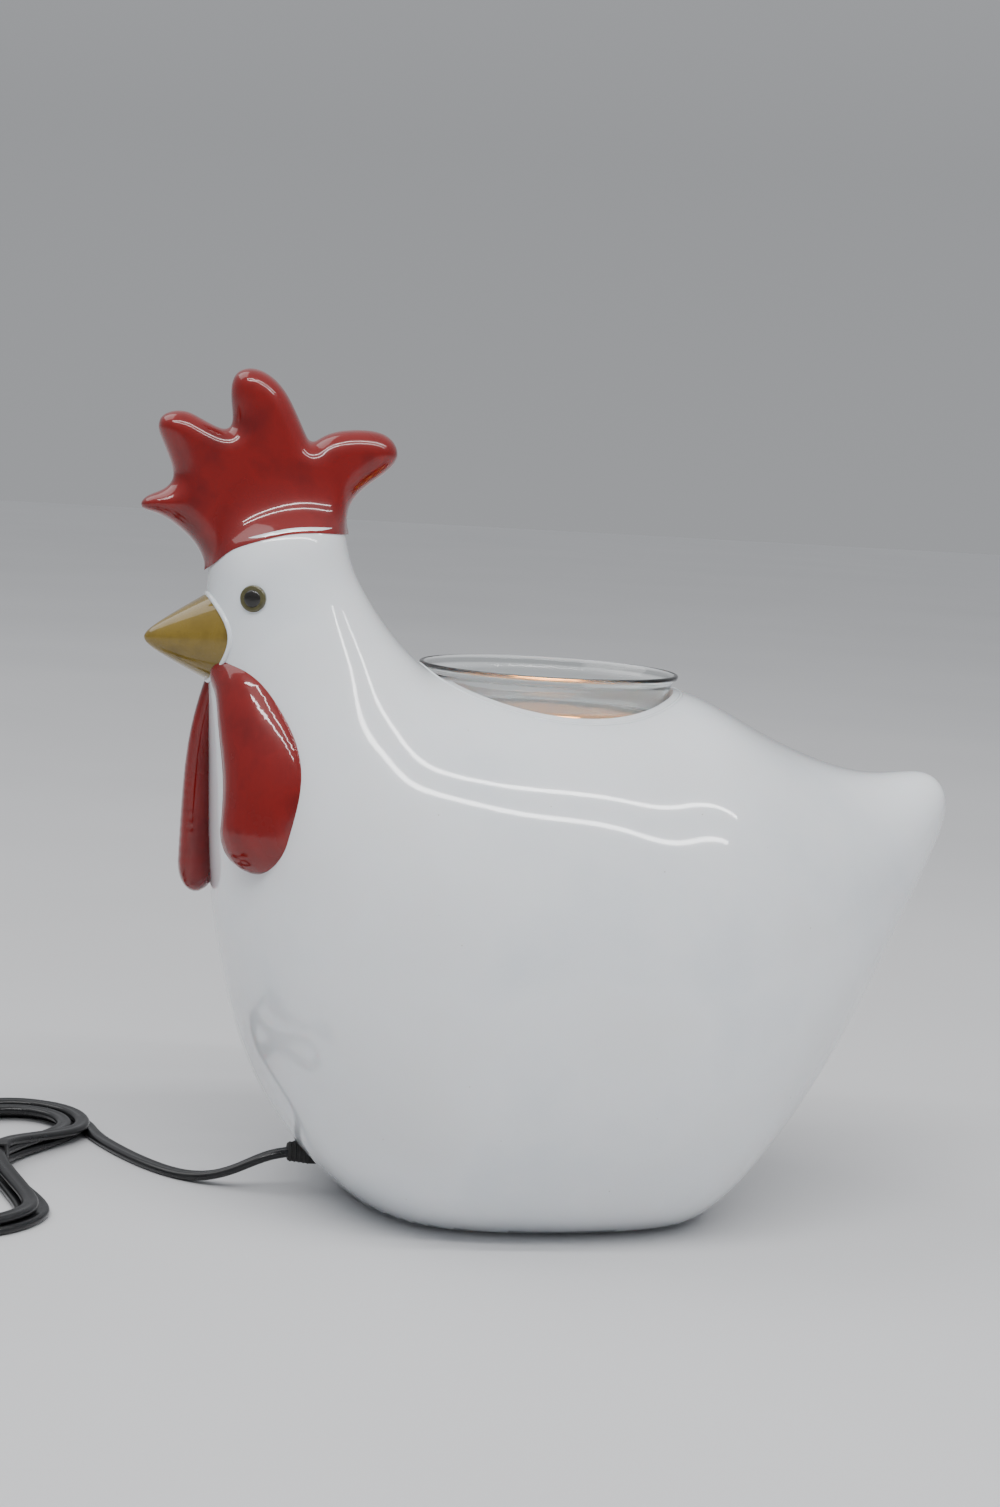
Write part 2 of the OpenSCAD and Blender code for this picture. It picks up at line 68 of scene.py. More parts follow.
aim(Vector((-0.2372, -0.8733, 0.2639)), Vector((-0.0195, 0, 0.16)), 3.5)

# ---------------------------------------------------------------- materials


def add(tree, kind, **settings):
    node = tree.nodes.new(kind)
    for name, value in settings.items():
        if hasattr(node, name):
            setattr(node, name, value)
        else:
            node.inputs[name.replace("_", " ")].default_value = value
    return node


def ramp(tree, source, stops):
    """A colour ramp over a value; stops are (place, colour)."""
    node = add(tree, "ShaderNodeValToRGB")
    points = node.color_ramp.elements
    while len(points) < len(stops):
        points.new(0.5)
    for point, (place, colour) in zip(points, stops):
        point.position = place
        point.color = (*colour, 1)
    tree.links.new(source, node.inputs[0])
    return node.outputs[0]


def coordinates(tree, stretch=(1, 1, 1), middle=(0, 0, 0)):
    place = add(tree, "ShaderNodeTexCoord")
    mapping = add(tree, "ShaderNodeMapping", Scale=stretch)
    mapping.inputs["Location"].default_value = [-m * s for m, s in zip(middle, stretch)]
    tree.links.new(place.outputs["Object"], mapping.inputs[0])
    return mapping.outputs[0]


def noise(tree, where, size, detail=3, rough=0.5):
    node = add(tree, "ShaderNodeTexNoise", Scale=1 / size, Detail=detail, Roughness=rough)
    tree.links.new(where, node.inputs["Vector"])
    return node.outputs[0]


def between(tree, source, low, high, first=0.3, last=0.7):
    node = add(tree, "ShaderNodeMapRange")
    for name, value in (("From Min", first), ("From Max", last), ("To Min", low), ("To Max", high)):
        node.inputs[name].default_value = value
    tree.links.new(source, node.inputs[0])
    return node.outputs[0]


def raise_by(tree, height, depth, under=None):
    node = add(tree, "ShaderNodeBump", Distance=depth, Strength=1)
    tree.links.new(height, node.inputs["Height"])
    if under:
        tree.links.new(under, node.inputs["Normal"])
    return node.outputs[0]


def mixed(tree, share, first, second):
    node = add(tree, "ShaderNodeMix", data_type="RGBA")
    tree.links.new(share, node.inputs[0])
    tree.links.new(first, node.inputs[6])
    node.inputs[7].default_value = (*second, 1)
    return node.outputs[2]


def specks(tree, where, spacing, reach):
    """A value near 1 on small round spots that stand about spacing apart."""
    node = add(tree, "ShaderNodeTexVoronoi", Scale=1 / spacing)
    tree.links.new(where, node.inputs["Vector"])
    return between(tree, node.outputs["Distance"], 1, 0, reach * 0.4, reach)


def surface(name, shades, rough, patch, grains, stretch=(1, 1, 1), spots=None, **finish):
    """A finish whose shades drift over patch metres, with fine relief from grains."""
    made = bpy.data.materials.new(name)
    made.use_nodes = True
    tree = made.node_tree
    shader = tree.nodes["Principled BSDF"]
    where = coordinates(tree, stretch)
    drift = noise(tree, where, patch, 4, 0.55)
    stops = [(0.3 + 0.4 * i / (len(shades) - 1), shade) for i, shade in enumerate(shades)]
    colour = ramp(tree, drift, stops)
    relief = None
    for size, depth in grains:
        relief = raise_by(tree, noise(tree, where, size), depth, relief)
    if spots:
        spacing, reach, shade, depth = spots
        dots = specks(tree, where, spacing, reach)
        colour = mixed(tree, dots, colour, shade)
        relief = raise_by(tree, dots, depth, relief)
    tree.links.new(colour, shader.inputs["Base Color"])
    tree.links.new(between(tree, drift, *rough), shader.inputs["Roughness"])
    tree.links.new(relief, shader.inputs["Normal"])
    for key, value in finish.items():
        shader.inputs[key.replace("_", " ")].default_value = value
    return made


def spun(name, shades, rough, middle, ring, depth, **finish):
    """Metal turned about an upright axis, with fine rings."""
    made = surface(name, shades, rough, 0.012, [(0.0012, 0.00001)], **finish)
    tree = made.node_tree
    flat = coordinates(tree, (1, 1, 0), middle)
    far = add(tree, "ShaderNodeVectorMath", operation="LENGTH")
    tree.links.new(flat, far.inputs[0])
    rings = add(tree, "ShaderNodeTexNoise", noise_dimensions="1D", Scale=1 / ring, Detail=2)
    tree.links.new(far.outputs["Value"], rings.inputs["W"])
    relief = raise_by(tree, rings.outputs[0], depth)
    tree.links.new(relief, tree.nodes["Principled BSDF"].inputs["Normal"])
    return made


GLAZE = dict(Coat_Weight=1, Coat_Roughness=0.05, Coat_IOR=1.5, Specular_IOR_Level=0.15)
glaze_white = surface(
    "glaze_white", [(0.75, 0.79, 0.83), (0.81, 0.84, 0.87), (0.79, 0.81, 0.83)], (0.12, 0.2), 0.05,
    [(0.05, 0.00025), (0.016, 0.00004), (0.0045, 0.000012)], spots=(0.011, 0.03, (0.5, 0.49, 0.46), -0.00004),
    Subsurface_Weight=0.06, Subsurface_Scale=0.004, **GLAZE)
glaze_red = surface(
    "glaze_red", [(0.13, 0.0012, 0.0012), (0.2, 0.003, 0.002), (0.165, 0.002, 0.0015)], (0.2, 0.3),
    0.02, [(0.014, 0.00008), (0.003, 0.000012)], spots=(0.009, 0.035, (0.12, 0.004, 0.004), -0.00003),
    **GLAZE)
glaze_olive = surface(
    "glaze_olive", [(0.14, 0.09, 0.009), (0.21, 0.14, 0.018), (0.175, 0.115, 0.013)], (0.2, 0.32),
    0.009, [(0.008, 0.00005), (0.0016, 0.000012)], spots=(0.005, 0.04, (0.12, 0.08, 0.01), -0.00002),
    **GLAZE)
enamel_olive = surface(
    "enamel_olive", [(0.06, 0.055, 0.02), (0.1, 0.09, 0.035)], (0.2, 0.3), 0.003,
    [(0.002, 0.00002)], **GLAZE)
enamel_black = surface(
    "enamel_black", [(0.006, 0.006, 0.005), (0.014, 0.012, 0.01)], (0.12, 0.2), 0.003,
    [(0.002, 0.00001)], **GLAZE)
dish_glass = surface(
    "dish_glass", [(0.95, 0.985, 0.975), (1, 1, 1)], (0.0, 0.02), 0.03, [(0.02, 0.00002)],
    Transmission_Weight=1, IOR=1.5)
bulb_glass = surface(
    "bulb_glass", [(1, 0.9, 0.72), (1, 0.94, 0.82)], (0.32, 0.42), 0.01, [(0.0008, 0.00001)],
    Transmission_Weight=0.75, IOR=1.45, Emission_Color=(1, 0.42, 0.13, 1), Emission_Strength=2.4)
clear_glass = surface(
    "clear_glass", [(0.95, 0.97, 0.97), (1, 1, 1)], (0.02, 0.05), 0.01, [(0.004, 0.00001)],
    Transmission_Weight=1, IOR=1.47)
porcelain = surface(
    "porcelain", [(0.72, 0.69, 0.61), (0.8, 0.78, 0.71)], (0.22, 0.36), 0.01,
    [(0.003, 0.00003), (0.0006, 0.000006)], spots=(0.004, 0.05, (0.4, 0.36, 0.3), -0.00003),
    Coat_Weight=0.5, Coat_Roughness=0.1)
plastic_black = surface(
    "plastic_black", [(0.012, 0.012, 0.013), (0.024, 0.024, 0.025)], (0.36, 0.5), 0.008,
    [(0.0007, 0.00003), (0.00025, 0.00001)])
plastic_grey = surface(
    "plastic_grey", [(0.42, 0.42, 0.4), (0.52, 0.52, 0.5)], (0.3, 0.45), 0.004,
    [(0.0005, 0.00002)], spots=(0.002, 0.08, (0.2, 0.2, 0.19), -0.00001))
rubber_black = surface(
    "rubber_black", [(0.01, 0.01, 0.01), (0.028, 0.027, 0.026)], (0.6, 0.85), 0.006,
    [(0.0009, 0.00005), (0.0003, 0.00002)])
vinyl_black = surface(
    "vinyl_black", [(0.004, 0.004, 0.005), (0.01, 0.01, 0.011)], (0.24, 0.4), 0.01,
    [(0.002, 0.00002), (0.0005, 0.000008)], Coat_Weight=0.35, Coat_Roughness=0.1,
    Specular_IOR_Level=0.3)
vinyl_grey = surface(
    "vinyl_grey", [(0.08, 0.08, 0.085), (0.14, 0.14, 0.145)], (0.3, 0.45), 0.006,
    [(0.001, 0.00002)])
steel = surface(
    "steel", [(0.48, 0.48, 0.47), (0.66, 0.66, 0.65)], (0.22, 0.45), 0.005,
    [(0.0012, 0.00002)], stretch=(0.2, 1, 1), Metallic=1)
brass = surface(
    "brass", [(0.5, 0.32, 0.1), (0.72, 0.5, 0.19), (0.66, 0.46, 0.17)], (0.2, 0.42), 0.004,
    [(0.001, 0.00002)], spots=(0.003, 0.06, (0.3, 0.19, 0.07), -0.00001), Metallic=1)
tungsten = surface(
    "tungsten", [(0.4, 0.3, 0.2), (0.5, 0.4, 0.3)], (0.4, 0.5), 0.001, [(0.0003, 0.00001)],
    Emission_Color=(1, 0.45, 0.12, 1), Emission_Strength=60)
aluminium = spun(
    "aluminium", [(0.6, 0.6, 0.61), (0.76, 0.76, 0.77)], (0.2, 0.4),
    (AXIS_X * MM, 0, 0), 0.0009, 0.00003, Metallic=1)
floor_paint = surface(
    "floor_paint", [(0.62, 0.62, 0.63), (0.66, 0.66, 0.67)], (0.5, 0.6), 0.5, [(0.01, 0.00002)])

# ---------------------------------------------------------------- making pieces


def link(name, mesh):
    made = bpy.data.objects.new(name, mesh)
    bpy.context.scene.collection.objects.link(made)
    return made


def tidy_mesh(mesh, sharp=38, turn=True):
    """Merges doubles, points the faces outwards and marks the sharp edges."""
    work = bmesh.new()
    work.from_mesh(mesh)
    bmesh.ops.remove_doubles(work, verts=work.verts, dist=2e-6)
    bmesh.ops.dissolve_degenerate(work, edges=work.edges, dist=1e-7)
    if turn:
        bmesh.ops.recalc_face_normals(work, faces=work.faces)
    limit = math.radians(sharp)
    for edge in work.edges:
        edge.smooth = len(edge.link_faces) == 2 and edge.calc_face_angle(0) < limit
    for face in work.faces:
        face.smooth = True
    work.to_mesh(mesh)
    work.free()


def settle(made, material, body="root", replaces=()):
    """Gives a finished piece its material and its body, and hides the solids it stands for."""
    made.data.materials.clear()
    made.data.materials.append(material)
    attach(made, body)
    if replaces:
        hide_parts(*replaces)
    return made


def solid(name, points, faces, sharp=38, turn=True):
    """An object from points in millimetres."""
    mesh = bpy.data.meshes.new(name)
    mesh.from_pydata([tuple(float(c) * MM for c in p) for p in points], [], faces)
    tidy_mesh(mesh, sharp, turn)
    return link(name, mesh)


def applied(made):
    """Turns the modifiers of a piece into plain mesh."""
    graph = bpy.context.evaluated_depsgraph_get()
    mesh = bpy.data.meshes.new_from_object(made.evaluated_get(graph), depsgraph=graph)
    made.modifiers.clear()
    made.data = mesh
    return made


def skin(rings, closed=False):
    """Points and faces over rings with the same number of points."""
    count, sides = len(rings), len(rings[0])
    points = [p for ring in rings for p in ring]
    faces = []
    for i in range(count if closed else count - 1):
        low, high = i * sides, (i + 1) % count * sides
        for j in range(sides):
            k = (j + 1) % sides
            faces.append((low + j, low + k, high + k, high + j))
    if not closed:
        points += [np.mean(rings[0], axis=0), np.mean(rings[-1], axis=0)]
        for j in range(sides):
            k = (j + 1) % sides
            last = (count - 1) * sides
            faces.append((count * sides, k, j))
            faces.append((count * sides + 1, last + j, last + k))
    return points, faces


def rounded_line(line, radius, steps=4, closed=True):
    """An outline with its corners rounded; a corner may carry its own radius."""
    out = []
    count = len(line)
    for i, corner in enumerate(line):
        here = np.array(corner[:2], float)
        size = corner[2] if len(corner) > 2 else radius
        if not closed and i in (0, count - 1):
            out.append(here)
            continue
        before = np.array(line[i - 1][:2], float) - here
        after = np.array(line[(i + 1) % count][:2], float) - here
        size = min(size, np.linalg.norm(before) * 0.48, np.linalg.norm(after) * 0.48)
        start = here + before / np.linalg.norm(before) * size
        end = here + after / np.linalg.norm(after) * size
        for k in range(steps + 1):
            t = k / steps
            out.append(start * (1 - t) ** 2 + here * 2 * t * (1 - t) + end * t * t)
    return out


def lathe(line, middle=(AXIS_X, 0, 0), along="Z", steps=96, closed=False):
    """Turns (radius, height) points about an axis through middle."""
    rings = []
    for j in range(steps):
        a = 2 * math.pi * j / steps
        ring = [(r * math.cos(a), r * math.sin(a), h) for r, h in line]
        if along == "-X":
            ring = [(-h, y, x) for x, y, h in ring]
        rings.append([np.array(p) + middle for p in ring])
    count = len(line)
    points = [p for ring in rings for p in ring]
    faces = []
    for j in range(steps):
        a, b = j * count, (j + 1) % steps * count
        for i in range(count if closed else count - 1):
            k = (i + 1) % count
            faces.append((a + i, b + i, b + k, a + k))
    return points, faces


def turned(name, line, radius=0.4, sharp=50, closed=False, **how):
    """A lathe piece with softened corners."""
    shape = rounded_line(line, radius, closed=closed)
    return solid(name, *lathe(shape, closed=closed, **how), sharp=sharp)


def softened(name, node, width, segments=3, sharp=45):
    """A copy of a CAD piece with its hard edges rounded over."""
    mesh = nodes[node].data.copy()
    work = bmesh.new()
    work.from_mesh(mesh)
    bmesh.ops.remove_doubles(work, verts=work.verts, dist=4e-6)
    bmesh.ops.dissolve_limit(work, angle_limit=math.radians(1.5), verts=work.verts, edges=work.edges)
    work.to_mesh(mesh)
    work.free()
    made = link(name, mesh)
    bevel = made.modifiers.new("edges", "BEVEL")
    bevel.width = width * MM
    bevel.segments = segments
    bevel.limit_method = "ANGLE"
    bevel.angle_limit = math.radians(35)
    bevel.miter_outer = "MITER_ARC"
    applied(made)
    tidy_mesh(made.data, sharp)
    return made


def cut(made, cutter):
    """Takes the cutter's space out of a piece."""
    tool = made.modifiers.new("cut", "BOOLEAN")
    tool.operation = "DIFFERENCE"
    tool.solver = "EXACT"
    tool.object = cutter
    applied(made)
    bpy.data.objects.remove(cutter)
    return made


def halved(made, place, normal, height=None):
    """Cuts a piece at a plane, keeps the side the normal points away from and closes it."""
    work = bmesh.new()
    work.from_mesh(made.data)
    if height:
        for vert in work.verts:
            vert.co.z -= height(vert.co.x)
    parts = [*work.verts, *work.edges, *work.faces]
    bmesh.ops.bisect_plane(work, geom=parts, plane_co=place, plane_no=normal, clear_outer=True)
    bmesh.ops.holes_fill(work, edges=[e for e in work.edges if e.is_boundary])
    if height:
        for vert in work.verts:
            vert.co.z += height(vert.co.x)
    bmesh.ops.triangulate(work, faces=[f for f in work.faces if len(f.verts) > 4])
    work.to_mesh(made.data)
    work.free()
    return made


# ---------------------------------------------------------------- smooth lines


def smooth_rows(rows, steps):
    """A curve with smooth bending through rows of numbers."""
    rows = np.array(rows, float)
    hold = rows.copy()
    for _ in range(4):
        wide = np.vstack([2 * hold[0] - hold[1], hold, 2 * hold[-1] - hold[-2]])
        hold = hold + rows - (wide[:-2] + 4 * wide[1:-1] + wide[2:]) / 6
    wide = np.vstack([2 * hold[0] - hold[1], hold, 2 * hold[-1] - hold[-2]])
    out = []
    for i in range(len(rows) - 1):
        a, b, c, d = wide[i:i + 4]
        for k in range(steps):
            t = k / steps
            out.append(((1 - t) ** 3 * a + (3 * t ** 3 - 6 * t * t + 4) * b
                        + (-3 * t ** 3 + 3 * t * t + 3 * t + 1) * c + t ** 3 * d) / 6)
    out.append(rows[-1])
    return np.array(out)


def evenly(line, step):
    """The same line with points a step apart."""
    far = np.r_[0, np.cumsum(np.linalg.norm(np.diff(line, axis=0), axis=1))]
    at = np.linspace(0, far[-1], int(round(far[-1] / step)) + 1)
    return np.stack([np.interp(at, far, line[:, k]) for k in range(3)], 1)


def relaxed(line, times):
    for _ in range(times):
        line = np.vstack([line[:1], (line[:-2] + 2 * line[1:-1] + line[2:]) / 4, line[-1:]])
    return line


# ---------------------------------------------------------------- mains lead

LEAD_ROUTE = [
    [-80, 0, 14], [-89, 0, 14], [-94, 0, 13.4], [-99, 0.6, 11.4], [-104.5, 2, 8.2],
    [-111, 4.5, 4.8], [-118.5, 9, 2.4], [-126, 15.5, 1.5], [-133, 24.5, 1.5], [-139, 35, 1.5],
    [-144.5, 47, 1.5], [-149.5, 60, 1.5], [-152.5, 72, 1.5]]
TAIL_ROUTE = [
    [-216, 93, 2.2], [-228, 87, 1.5], [-239, 82, 1.5], [-247.5, 77, 2], [-253, 69, 3.8],
    [-255, 59, 6.6], [-255, 48, 7.5], [-255, 38, 7.5], [-255, 25, 7.5], [-255, 12, 7.5]]
END_ROUTE = [
    [-255, 2, 7.5], [-255, -6, 6.8], [-255, -16, 4], [-255, -28, 2.6],
    [-255, -40, 4], [-255, -50, 6.8], [-255, -58, 7.5], [-255, -66, 7.5]]
HANK = np.array([-193, 26])
HANK_TURN = math.radians(-12)
HANK_REACH = 52
# Each fold of the hank: which end, radius, height, how far out, first and last angle
FOLDS = [
    (1, 29, 1.5, 0, 24, 204), (-1, 21, 1.5, 0, 156, 384), (1, 23, 1.5, 1, -24, 204),
    (-1, 26.8, 1.6, -1, 156, 384), (1, 20.5, 4.4, -2, -24, 204), (-1, 23.5, 4.5, 1, 156, 384),
    (1, 26.5, 4.5, 1, -24, 122)]
WAIST_X = 3.1
LAYERS = [2.8, 5.8, 8.8]
LEAD_T = 2.9


def hank_points():
    """The folds, joined through the waist in two stacks of three."""
    line = []
    for i, (end, radius, height, out, first, last) in enumerate(FOLDS):
        count = round((last - first) / 38)
        for k in range(count + 1):
            a = math.radians(first + (last - first) * k / count)
            y = end * (HANK_REACH + out) + radius * math.sin(a)
            line.append([radius * math.cos(a), y, height])
        if i == len(FOLDS) - 1:
            continue
        side, layer = -end, LAYERS[i // 2]
        line.append([side * (WAIST_X + 4.2), end * 16, layer * 0.75 + height * 0.25])
        line.append([side * WAIST_X, 0, layer])
        line.append([side * (WAIST_X + 4.2), -end * 16, layer * 0.75 + FOLDS[i + 1][2] * 0.25])
    cos, sin = math.cos(HANK_TURN), math.sin(HANK_TURN)
    return [[HANK[0] + x * cos - y * sin, HANK[1] + x * sin + y * cos, z] for x, y, z in line]


def lead_section():
    """Outline of the flat two-core lead: two round lobes with a groove between them."""
    lobe = LEAD_T / 2
    half = [(lobe + lobe * math.cos(a), lobe * math.sin(a))
            for a in (math.radians(d) for d in range(-125, 126, 25))]
    return half + [(-x, -z) for x, z in half]


def along_line(line, section):
    """Rings of a level section along a line."""
    steps = np.gradient(line, axis=0)
    rings = []
    for here, step in zip(line, steps):
        step = step / np.linalg.norm(step)
        flat = np.array([-step[1], step[0], 0])
        side = flat / np.linalg.norm(flat)
        up = np.cross(step, side)
        rings.append([here + side * x + up * z for x, z in section])
    return rings


lead_line = smooth_rows(LEAD_ROUTE + hank_points() + TAIL_ROUTE + END_ROUTE, 6)
lead_line = evenly(relaxed(evenly(lead_line, 2), 12), 2.5)
mains_lead = solid("mains_lead", *skin(along_line(lead_line, lead_section())), sharp=70)
settle(mains_lead, vinyl_black,
       replaces=("cord_lead", "cord_hank", "cord_tail", "cord_end"))

# ---------------------------------------------------------------- repeating pieces


def new_tree(name, *sockets):
    tree = bpy.data.node_groups.new(name, "GeometryNodeTree")
    tree.interface.new_socket("Geometry", in_out="INPUT", socket_type="NodeSocketGeometry")
    for label, kind in sockets:
        tree.interface.new_socket(label, in_out="INPUT", socket_type="NodeSocket" + kind)
    tree.interface.new_socket("Geometry", in_out="OUTPUT", socket_type="NodeSocketGeometry")
    return tree, add(tree, "NodeGroupInput").outputs


def wire(tree, source, node, socket):
    tree.links.new(source, node.inputs[socket])
    return node


def end_tree(tree, source, material):
    """Every tree ends in plain geometry that carries its material."""
    plain = wire(tree, source, add(tree, "GeometryNodeRealizeInstances"), 0)
    coat = wire(tree, plain.outputs[0], add(tree, "GeometryNodeSetMaterial"), "Geometry")
    wire(tree, material, coat, "Material")
    wire(tree, coat.outputs[0], add(tree, "NodeGroupOutput"), 0)


def thread_tree():
    """A round ridge that climbs an upright axis, as on a screw."""
    tree, given = new_tree(
        "thread", ("Radius", "Float"), ("Turns", "Float"), ("Height", "Float"),
        ("Ridge", "Float"), ("Place", "Vector"), ("Material", "Material"))
    spiral = add(tree, "GeometryNodeCurveSpiral", Resolution=72)
    wire(tree, given["Radius"], spiral, "Start Radius")
    wire(tree, given["Radius"], spiral, "End Radius")
    wire(tree, given["Turns"], spiral, "Rotations")
    wire(tree, given["Height"], spiral, "Height")
    round_wire = add(tree, "GeometryNodeCurvePrimitiveCircle", Resolution=10)
    wire(tree, given["Ridge"], round_wire, "Radius")
    ridge = wire(tree, spiral.outputs[0], add(tree, "GeometryNodeCurveToMesh", Fill_Caps=True), 0)
    wire(tree, round_wire.outputs[0], ridge, 1)
    moved = wire(tree, ridge.outputs[0], add(tree, "GeometryNodeTransform"), 0)
    wire(tree, given["Place"], moved, "Translation")
    end_tree(tree, moved.outputs[0], given["Material"])
    return tree


def rings_tree():
    """Rings threaded on a line, a little smaller or larger towards its end."""
    tree, given = new_tree(
        "rings", ("Count", "Int"), ("Radius", "Float"), ("Wire", "Float"),
        ("First size", "Float"), ("Last size", "Float"), ("Material", "Material"))
    line = wire(tree, given["Geometry"], add(tree, "GeometryNodeMeshToCurve"), 0)
    places = wire(tree, line.outputs[0], add(tree, "GeometryNodeResampleCurve"), "Curve")
    wire(tree, given["Count"], places, "Count")
    hoop = add(tree, "GeometryNodeCurvePrimitiveCircle", Resolution=40)
    wire(tree, given["Radius"], hoop, "Radius")
    round_wire = add(tree, "GeometryNodeCurvePrimitiveCircle", Resolution=10)
    wire(tree, given["Wire"], round_wire, "Radius")
    ring = wire(tree, hoop.outputs[0], add(tree, "GeometryNodeCurveToMesh"), 0)
    wire(tree, round_wire.outputs[0], ring, 1)
    far = add(tree, "GeometryNodeSplineParameter")
    size = wire(tree, far.outputs["Factor"], add(tree, "ShaderNodeMapRange"), "Value")
    wire(tree, given["First size"], size, "To Min")
    wire(tree, given["Last size"], size, "To Max")
    facing = add(tree, "FunctionNodeAlignEulerToVector", axis="Z")
    wire(tree, add(tree, "GeometryNodeInputTangent").outputs[0], facing, "Vector")
    put = wire(tree, places.outputs[0], add(tree, "GeometryNodeInstanceOnPoints"), "Points")
    wire(tree, ring.outputs[0], put, "Instance")
    wire(tree, facing.outputs[0], put, "Rotation")
    wire(tree, size.outputs[0], put, "Scale")
    end_tree(tree, put.outputs[0], given["Material"])
    return tree


def grown(name, tree, line=(), **values):
    """Runs a tree over a line of points in millimetres and keeps the plain result."""
    mesh = bpy.data.meshes.new(name)
    edges = [(i, i + 1) for i in range(len(line) - 1)]
    mesh.from_pydata([tuple(c * MM for c in p) for p in line], edges, [])
    made = link(name, mesh)
    tool = made.modifiers.new("grow", "NODES")
    tool.node_group = tree
    for item in tree.interface.items_tree:
        label = item.name.replace(" ", "_")
        if item.in_out == "INPUT" and label in values:
            tool[item.identifier] = values[label]
    applied(made)
    tidy_mesh(made.data, 60)
    return made


THREAD = thread_tree()
RINGS = rings_tree()

# ---------------------------------------------------------------- strain relief, tie, switch, plug

bushing_line = [(0, 0), (6.2, 0), (6.2, 2), (4.55, 2.2), (4.5, 13.6), (3.2, 22), (2.4, 22), (0, 22)]
cord_bushing = turned("cord_sleeve", bushing_line, 0.6, middle=(-67, 0, 14), along="-X", steps=48)
settle(cord_bushing, rubber_black, replaces=("cord_bushing",))
sleeve_ribs = grown(
    "sleeve_ribs", RINGS, [(-81.6, 0, 14), (-88, 0, 14)], Count=5, Radius=4.1 * MM,
    Wire=0.42 * MM, First_size=1.0, Last_size=0.8, Material=rubber_black)
settle(sleeve_ribs, rubber_black)

hank_tie = softened("hank_strap", "hank_tie", 0.4)
settle(hank_tie, plastic_black, replaces=("hank_tie",))

switch_base = softened("switch_lower", "switch_base", 0.7)
settle(switch_base, plastic_black, replaces=("switch_base",))
switch_cover = softened("switch_upper", "switch_cover", 0.7)
settle(switch_cover, plastic_black, replaces=("switch_cover",))
switch_wheel = softened("switch_thumb_wheel", "switch_wheel", 0.25)
settle(switch_wheel, plastic_grey, "switch_wheel", ("switch_wheel",))
plug_body = softened("plug_moulding", "plug_body", 1.0)
settle(plug_body, vinyl_black, replaces=("plug_body",))
plug_blades = softened("plug_pins", "plug_blades", 0.25, 2)
settle(plug_blades, brass, replaces=("plug_blades",))

# ---------------------------------------------------------------- ceramic body

# Ribs from the tail to the crown: back x, back z, front x, front z, half width,
# how low the widest point sits, fullness of the back, fullness of the front
RIBS = [
    [151, 153, 151.5, 151, 1.5, 0, 0, 0],
    [147, 157, 152, 146, 8, 0, 0, 0],
    [140, 158.5, 150, 137, 15, 0, 0, 0],
    [127, 157.5, 144, 124, 23, 0, 0.05, 0.05],
    [112, 159, 135, 106, 32, 0, 0.1, 0.1],
    [95, 164, 124, 86, 45, 0.05, 0.1, 0.1],
    [76, 172, 110, 63, 60, 0.1, 0.12, 0.15],
    [58, 181, 93, 38, 73, 0.1, 0.14, 0.2],
    [42, 186.5, 72, 12, 84, 0.1, 0.15, 0.25],
    [24, 188, 50, -7, 90, 0.1, 0.15, 0.25],
    [5, 188.5, 24, -12, 94, 0.1, 0.15, 0.25],
    [-14, 189, -6, -13, 94, 0.1, 0.15, 0.25],
    [-31, 189, -36, -11, 92, 0.1, 0.15, 0.25],
    [-44, 189.5, -61, -3, 87, 0.1, 0.15, 0.25],
    [-51, 191.5, -87, 19, 79, 0.1, 0.12, 0.2],
    [-56, 195.5, -105, 48, 68, 0.1, 0.1, 0.15],
    [-61, 200.5, -116, 82, 56, 0.1, 0.1, 0.1],
    [-66, 206.5, -121.5, 117, 44, 0.05, 0.1, 0.1],
    [-71, 213.5, -123.5, 150, 35, 0, 0.1, 0.1],
    [-75.5, 221, -125.5, 180, 29, 0, 0.1, 0.1],
    [-78.5, 228.5, -127, 203, 26, 0, 0.1, 0.1],
    [-80.5, 236.5, -127, 221, 24, 0, 0.1, 0.1],
    [-83, 243, -124, 233, 19, 0, 0.1, 0.1],
    [-90, 248, -114, 241, 11, 0, 0.1, 0.1],
    [-98, 249, -105, 247, 3, 0, 0, 0]]
WALL = 4.5
FOOT_Z = 1.5
FLOOR_Z = 8
SEAT_Z = 174
SEAT_R = 45


def rib_ring(rib, inset, sides):
    """One closed ring of the body, drawn inset from the outside surface."""
    a = -2 * np.pi * np.arange(sides) / sides
    dx, dz = rib[2] - rib[0], rib[3] - rib[1]
    length = math.hypot(dx, dz)
    cos = np.cos(a)
    u = (1 - cos) / 2
    v = u + rib[5] * u * (1 - u)
    k = inset / length + (1 - 2 * inset / length) * v
    full = np.where(cos > 0, rib[6], rib[7])
    y = (rib[4] - inset) * np.sin(a) * (1 + full * cos * cos)
    return np.stack([rib[0] + dx * k, y, rib[1] + dz * k], 1)


def body_solid(name, inset, first, last, steps, sides):
    rows = smooth_rows(RIBS, steps)[first * steps:last * steps + 1]
    return solid(name, *skin([rib_ring(row, inset, sides) for row in rows]), sharp=180)


# Line between the white head and the red comb: x and height
CROWN = [(-134, 215), (-129, 220), (-126.1, 223.3), (-124.6, 225.3), (-122.4, 227.6), (-120, 229.3),
         (-115.8, 231.1), (-111, 232.7), (-105.4, 234.3), (-99.3, 235.4), (-92, 235.8),
         (-86, 235.7), (-80, 235.4), (-70, 234.6)]
CROWN_LINE = smooth_rows(CROWN, 5)


def crown_line(x):
    """Height of the edge of the red glaze at a place along the head, in metres."""
    return float(np.interp(x / MM, CROWN_LINE[:, 0], CROWN_LINE[:, 1])) * MM


def post(radius, low, high, steps=160):
    line = [(0, low), (radius, low), (radius, high), (0, high)]
    return solid("post", *lathe(line, steps=steps))


